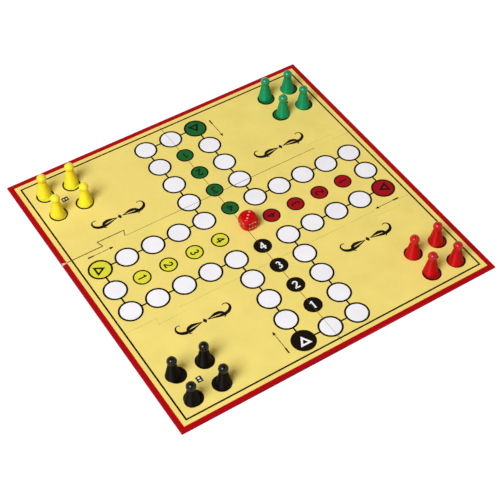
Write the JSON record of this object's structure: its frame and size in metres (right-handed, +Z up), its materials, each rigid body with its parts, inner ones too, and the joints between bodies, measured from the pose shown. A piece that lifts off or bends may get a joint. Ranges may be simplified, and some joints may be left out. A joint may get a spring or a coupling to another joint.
{
  "type": "ludo game set",
  "caption": "Square ludo board of three dovetailed strips that fold at a centre crease, set out with cone pawns in four colours and a rounded die.",
  "frame": {"origin": "under the middle of the board, on the surface that it lies on", "axes": "+X along the strips towards the right-hand panels, +Y from the near strip to the far strip, +Z up"},
  "size_m": [0.308, 0.308, 0.0256],
  "materials": {
    "greyboard": "matte, solid pressed pulp board",
    "printed_paper": "printed, satin varnish",
    "liner_paper": "matte, uncoated",
    "hinge_cloth": "matte book cloth",
    "yellow_plastic": "glossy, moulded",
    "green_plastic": "glossy, moulded",
    "red_plastic": "glossy, moulded",
    "black_plastic": "glossy, moulded",
    "die_plastic": "glossy, tumbled",
    "pip_paint": "satin paint"
  },
  "bodies": {
    "far_left": {"far_left_core": "greyboard", "far_left_print_sheet": "printed_paper", "far_left_back_liner": "liner_paper", "far_crease_tape": "hinge_cloth"},
    "far_right": {"far_right_core": "greyboard", "far_right_print_sheet": "printed_paper", "far_right_back_liner": "liner_paper"},
    "middle_left": {"middle_left_core": "greyboard", "middle_left_print_sheet": "printed_paper", "middle_left_back_liner": "liner_paper", "middle_crease_tape": "hinge_cloth"},
    "middle_right": {"middle_right_core": "greyboard", "middle_right_print_sheet": "printed_paper", "middle_right_back_liner": "liner_paper"},
    "near_left": {"near_left_core": "greyboard", "near_left_print_sheet": "printed_paper", "near_left_back_liner": "liner_paper", "near_crease_tape": "hinge_cloth"},
    "near_right": {"near_right_core": "greyboard", "near_right_print_sheet": "printed_paper", "near_right_back_liner": "liner_paper"},
    "pawn_yellow_1": {"pawn_yellow_1": "yellow_plastic"},
    "pawn_yellow_2": {"pawn_yellow_2": "yellow_plastic"},
    "pawn_yellow_3": {"pawn_yellow_3": "yellow_plastic"},
    "pawn_yellow_4": {"pawn_yellow_4": "yellow_plastic"},
    "pawn_green_1": {"pawn_green_1": "green_plastic"},
    "pawn_green_2": {"pawn_green_2": "green_plastic"},
    "pawn_green_3": {"pawn_green_3": "green_plastic"},
    "pawn_green_4": {"pawn_green_4": "green_plastic"},
    "pawn_red_1": {"pawn_red_1": "red_plastic"},
    "pawn_red_2": {"pawn_red_2": "red_plastic"},
    "pawn_red_3": {"pawn_red_3": "red_plastic"},
    "pawn_red_4": {"pawn_red_4": "red_plastic"},
    "pawn_black_1": {"pawn_black_1": "black_plastic"},
    "pawn_black_2": {"pawn_black_2": "black_plastic"},
    "pawn_black_3": {"pawn_black_3": "black_plastic"},
    "pawn_black_4": {"pawn_black_4": "black_plastic"},
    "die": {"die_body": "die_plastic", "die_pips": "pip_paint"}
  },
  "joints": [
    {"name": "crease_fold_far", "type": "hinge", "parent": "far_left", "child": "far_right", "pos_m": [0, 0, -0.00005], "axis": [0, 1, 0], "range_deg": [0, 180], "deforming": ["far_crease_tape"]},
    {"name": "crease_fold_middle", "type": "hinge", "parent": "middle_left", "child": "middle_right", "pos_m": [0, 0, -0.00005], "axis": [0, 1, 0], "range_deg": [0, 180], "deforming": ["middle_crease_tape"]},
    {"name": "crease_fold_near", "type": "hinge", "parent": "near_left", "child": "near_right", "pos_m": [0, 0, -0.00005], "axis": [0, 1, 0], "range_deg": [0, 180], "deforming": ["near_crease_tape"]},
    {"name": "dovetail_lift_far", "type": "slide", "parent": "middle_left", "child": "far_left", "axis": [0, 0, 1], "range_m": [0, 0.09]},
    {"name": "dovetail_lift_near", "type": "slide", "parent": "middle_left", "child": "near_left", "axis": [0, 0, 1], "range_m": [0, 0.09]},
    {"name": "die_lift", "type": "slide", "parent": "middle_left", "child": "die", "axis": [0, 0, 1], "range_m": [0, 0.04]},
    {"name": "pawn_lift_yellow_1", "type": "slide", "parent": "far_left", "child": "pawn_yellow_1", "axis": [0, 0, 1], "range_m": [0, 0.04]},
    {"name": "pawn_lift_yellow_2", "type": "slide", "parent": "far_left", "child": "pawn_yellow_2", "axis": [0, 0, 1], "range_m": [0, 0.04]},
    {"name": "pawn_lift_yellow_3", "type": "slide", "parent": "far_left", "child": "pawn_yellow_3", "axis": [0, 0, 1], "range_m": [0, 0.04]},
    {"name": "pawn_lift_yellow_4", "type": "slide", "parent": "far_left", "child": "pawn_yellow_4", "axis": [0, 0, 1], "range_m": [0, 0.04]},
    {"name": "pawn_lift_green_1", "type": "slide", "parent": "far_right", "child": "pawn_green_1", "axis": [0, 0, 1], "range_m": [0, 0.04]},
    {"name": "pawn_lift_green_2", "type": "slide", "parent": "far_right", "child": "pawn_green_2", "axis": [0, 0, 1], "range_m": [0, 0.04]},
    {"name": "pawn_lift_green_3", "type": "slide", "parent": "far_right", "child": "pawn_green_3", "axis": [0, 0, 1], "range_m": [0, 0.04]},
    {"name": "pawn_lift_green_4", "type": "slide", "parent": "far_right", "child": "pawn_green_4", "axis": [0, 0, 1], "range_m": [0, 0.04]},
    {"name": "pawn_lift_red_1", "type": "slide", "parent": "near_right", "child": "pawn_red_1", "axis": [0, 0, 1], "range_m": [0, 0.04]},
    {"name": "pawn_lift_red_2", "type": "slide", "parent": "near_right", "child": "pawn_red_2", "axis": [0, 0, 1], "range_m": [0, 0.04]},
    {"name": "pawn_lift_red_3", "type": "slide", "parent": "near_right", "child": "pawn_red_3", "axis": [0, 0, 1], "range_m": [0, 0.04]},
    {"name": "pawn_lift_red_4", "type": "slide", "parent": "near_right", "child": "pawn_red_4", "axis": [0, 0, 1], "range_m": [0, 0.04]},
    {"name": "pawn_lift_black_1", "type": "slide", "parent": "near_left", "child": "pawn_black_1", "axis": [0, 0, 1], "range_m": [0, 0.04]},
    {"name": "pawn_lift_black_2", "type": "slide", "parent": "near_left", "child": "pawn_black_2", "axis": [0, 0, 1], "range_m": [0, 0.04]},
    {"name": "pawn_lift_black_3", "type": "slide", "parent": "near_left", "child": "pawn_black_3", "axis": [0, 0, 1], "range_m": [0, 0.04]},
    {"name": "pawn_lift_black_4", "type": "slide", "parent": "near_left", "child": "pawn_black_4", "axis": [0, 0, 1], "range_m": [0, 0.04]}
  ]
}
